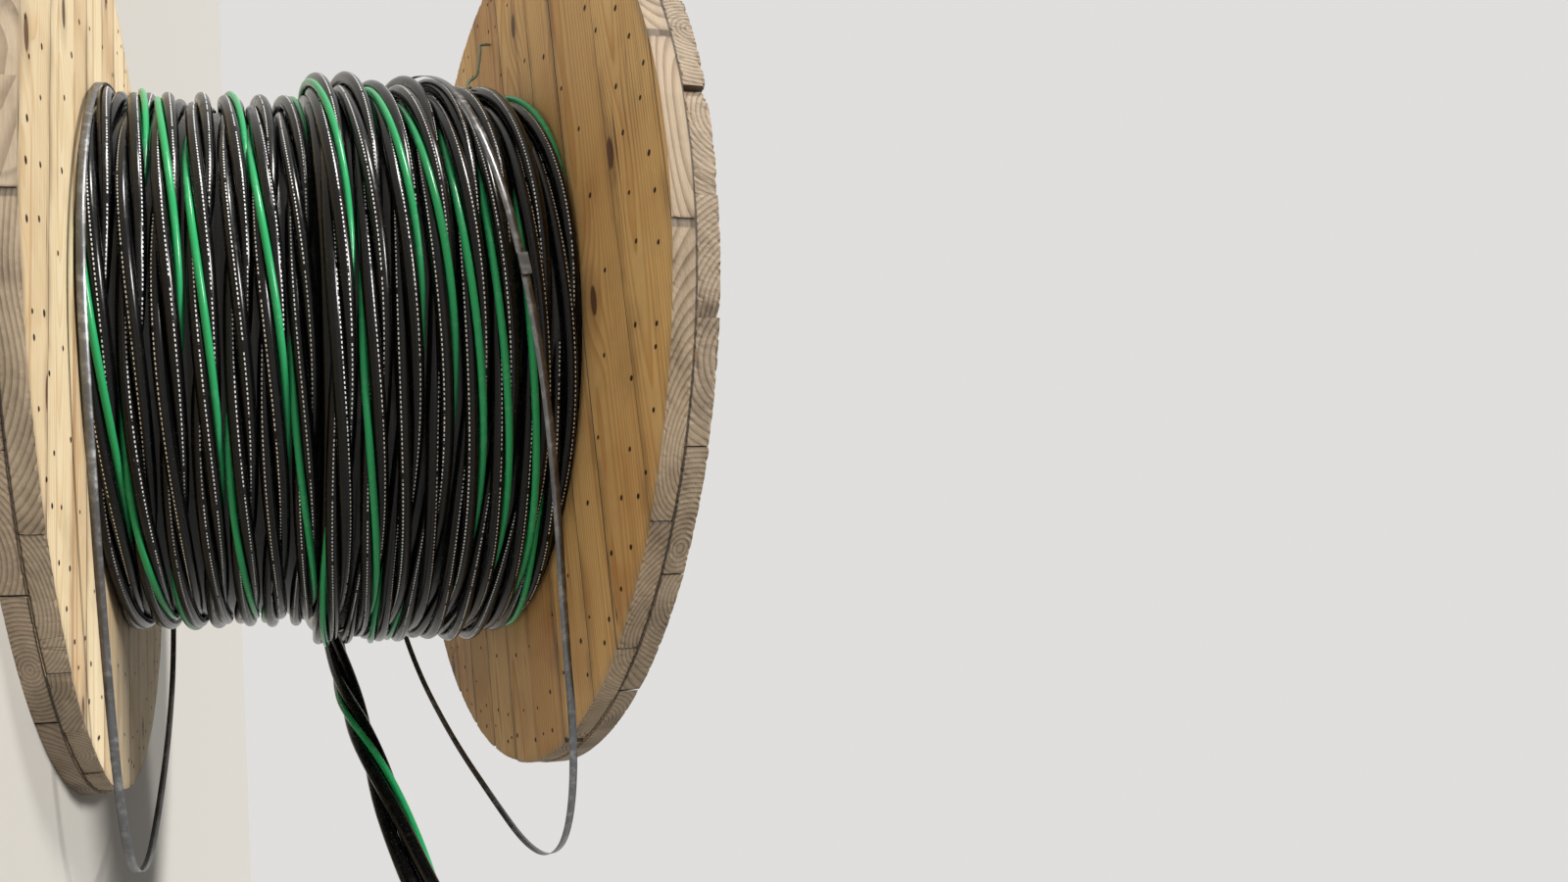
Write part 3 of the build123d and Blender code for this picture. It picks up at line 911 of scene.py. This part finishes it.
# Steel bands.
# Two packing bands, closed loops of thin steel strip, now slack. With the drum on its
# rims they hang from the top turns to the floor. A seal joins the right one's ends.
band_steel, band_shade, band_surface = finish_material("band_steel")
band_place = band_shade.node("ShaderNodeTexCoord", {}, {}, "Object")
band_scuff = band_shade.noise(band_place, 70.0, 4.0, 0.65).step(0.45, 0.7)
band_blue = band_shade.noise(band_place, 9.0, 2.0).step(0.4, 0.65)
band_colour = band_shade.blend((0.15, 0.153, 0.16), (0.30, 0.30, 0.30), band_scuff)
band_colour = band_shade.blend(band_colour, (0.07, 0.067, 0.064), band_blue * 0.6)
join(band_shade, band_surface, Base_Color=band_colour, Roughness=0.30 + 0.22 * band_scuff)
band_surface.inputs["Metallic"].default_value = 0.85
band_width, band_thickness = 12.7, 0.8


def band_strip(name, corners, foot, by_y, by_z):
    """Closed strip: the smooth curve that touches the middle of each side of its corner
    polygon (y, z), in the plane x = foot + by_y * y + by_z * z, all in mm.

    The strip's width stands square to that plane, and its thickness outside the curve."""
    corners = np.array(corners, float)
    before = (np.roll(corners, 1, axis=0) + corners) / 2
    after = (np.roll(corners, -1, axis=0) + corners) / 2
    s = np.linspace(0, 1, 12, endpoint=False)[None, :, None]
    curve = ((1 - s) ** 2 * before[:, None] + 2 * s * (1 - s) * corners[:, None]
             + s ** 2 * after[:, None]).reshape(-1, 2)
    way = np.roll(curve, -1, axis=0) - np.roll(curve, 1, axis=0)
    way /= np.linalg.norm(way, axis=1, keepdims=True)
    out = np.column_stack([way[:, 1], -way[:, 0]])
    centre = curve.mean(axis=0)
    if ((curve - centre) * out).sum() < 0:
        out = -out
    normal = np.array([1, -by_y, -by_z]) / np.sqrt(1 + by_y ** 2 + by_z ** 2)
    # Shares of the width and the thickness: a strip bowed a little inwards.
    profile = np.array([(0, 0), (0.5, -0.12), (1, 0), (1, 1), (0.5, 0.88), (0, 1)])
    points = []
    for across, thick in profile:
        flat = curve + out * thick * band_thickness
        x = foot + by_y * flat[:, 0] + by_z * flat[:, 1]
        points.append(np.column_stack([x, flat]) + normal * across * band_width)
    points = np.stack(points, axis=1) / 1000
    number = np.arange(points.shape[0] * 6).reshape(-1, 6)
    beyond = np.roll(number, -1, axis=0)
    around = np.roll(number, -1, axis=1)
    faces = np.stack([number, around, np.roll(around, -1, axis=0), beyond], axis=-1)
    made = place_mesh(name, points.reshape(-1, 3), faces.reshape(-1, 4), band_steel, closed=True)
    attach(made, body)
    return made


left_corners = [(120, 1246), (-130, 1246), (-330, 1150), (-492, 990), (-572, 760), (-634, 520)]
left_corners += [(-668, 280), (-640, 130), (-500, 26), (-330, 1.1), (-60, 1.1)]
left_corners += [(200, 60), (410, 260), (510, 560), (500, 850), (370, 1090)]
left_band = band_strip("left_steel_band_strip", left_corners, -327.0, 0.0, -0.0197)
right_corners = [(120, 1284), (-120, 1284), (-300, 1220), (-450, 1085), (-556, 900), (-612, 700)]
right_corners += [(-640, 500), (-680, 310), (-664, 150), (-600, 55), (-500, 8), (-370, 1.2)]
right_corners += [(-100, 1.2), (180, 60), (420, 260), (545, 520), (565, 800), (450, 1080)]
right_corners += [(290, 1230)]
right_band = band_strip("right_steel_band_strip", right_corners, 274.0, -0.116, -0.092)
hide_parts("left_steel_band")
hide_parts("right_steel_band")
dress("right_band_seal", band_steel)

# Twine.
# A short length of green polypropylene twine, laid from three strands and hairy. It
# runs from the right flange over the top turns and down between two of them.
twine_fibre, twine_shade, twine_surface = finish_material("twine_fibre")
twine_place = twine_shade.node("ShaderNodeTexCoord", {}, {}, "Object")
twine_fade = twine_shade.noise(twine_place, 220.0, 3.0, 0.7).step(0.35, 0.7)
twine_colour = twine_shade.blend((0.10, 0.20, 0.135), (0.36, 0.46, 0.38), twine_fade)
join(twine_shade, twine_surface, Base_Color=twine_colour, Roughness=0.8)
twine_points = [(359.7, 165.3, 1387.2), (337.5, 163.5, 1386.5), (330, 122, 1368)]
twine_points += [(318, 75, 1345), (306, 35, 1322), (297, 8, 1303)]
twine_points += [(276, -20, 1290), (264.5, -52, 1274), (264, -84, 1269)]
twine_route, twine_length = spline_points(np.array(twine_points) / 1000)
strand_radius, strand_lay, hair_radius = 0.0013, 0.016, 0.00018
strands = []
gone = np.concatenate([[0], np.cumsum(np.linalg.norm(np.diff(twine_route, axis=0), axis=1))])
side, up = along_route(twine_route, strand_radius, 6, 0.0)[4:]
for strand in range(3):
    a = gone * 2 * pi / strand_lay + strand * 2 * pi / 3
    centre = twine_route + strand_radius * (np.cos(a)[:, None] * side + np.sin(a)[:, None] * up)
    strands.append(along_route(centre, strand_radius, 8, 0.0)[:3])
twine = place_joined("green_twine_strands", strands, twine_fibre)
dice = np.random.default_rng(11)
hairs = []
for hair in range(140):
    at = dice.integers(2, len(twine_route) - 2)
    reach = dice.normal(0, 1, 3)
    reach *= dice.uniform(0.003, 0.006) / np.linalg.norm(reach)
    lean = (twine_route[at + 1] - twine_route[at - 1]) * dice.uniform(-0.5, 0.5)
    foot = twine_route[at]
    bend = np.array([foot, foot + 0.6 * reach, foot + reach + lean])
    hairs.append(along_route(bend, hair_radius, 3, 0.0)[:3])
twine_hairs = place_joined("green_twine_hairs", hairs, twine_fibre)
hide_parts("green_twine")
twine_route = stood(twine_route)

# Studio.
# A plain pale floor that keeps the drum's shadow, under the left flange, and three
# soft lamps: two on the side of the drum's top, and a weaker one in front.
floor_paint, floor_shade, floor_surface = finish_material("floor_paint")
join(floor_shade, floor_surface, Base_Color=(0.62, 0.60, 0.56, 1), Roughness=0.8)
floor_corners = [(-outer_face, y, z) for y, z in ((-30, -30), (30, -30), (30, 30), (-30, 30))]
floor = place_mesh("floor", floor_corners, [[0, 1, 2, 3]], floor_paint, smooth=False)


def lamp(name, toward, spread, strength, tone):
    """A soft lamp far away in the direction toward; spread is its apparent size in degrees."""
    light = bpy.data.lights.new(name, "SUN")
    light.angle = radians(spread)
    light.energy = strength
    light.color = tone
    made = bpy.data.objects.new(name, light)
    away = np.array(toward, float) / np.linalg.norm(toward)
    side = np.cross((0, 0, 1), away)
    side /= np.linalg.norm(side)
    up = np.cross(away, side)
    made.matrix_world = Matrix(np.stack([side, up, away], axis=1).tolist()).to_4x4()
    bpy.context.scene.collection.objects.link(made)


lamp("lamp_high", (-0.93, 0.10, 0.35), 10.0, 2.3, (1.0, 0.98, 0.94))
lamp("lamp_side", (-0.62, -0.36, 0.70), 12.0, 3.3, (1.0, 0.98, 0.95))
lamp("lamp_front", (-0.30, -0.70, -0.65), 110.0, 1.0, (1.0, 0.98, 0.95))
world = bpy.data.worlds.new("studio")
bpy.context.scene.world = world
world.use_nodes = True
sky = Shade(world.node_tree)
background = world.node_tree.nodes["Background"]
rays = ("Is Camera Ray", "Is Glossy Ray", "Is Transmission Ray")
to_eye, to_gloss, through = [sky.node("ShaderNodeLightPath", {}, {}, ray) for ray in rays]
seen = to_eye.most(to_gloss).most(through)
strength = 0.12 + 0.62 * seen
world.node_tree.links.new(strength.socket, background.inputs["Strength"])
background.inputs["Color"].default_value = (1.0, 0.99, 0.97, 1)
bpy.context.scene.view_settings.view_transform = "Standard"
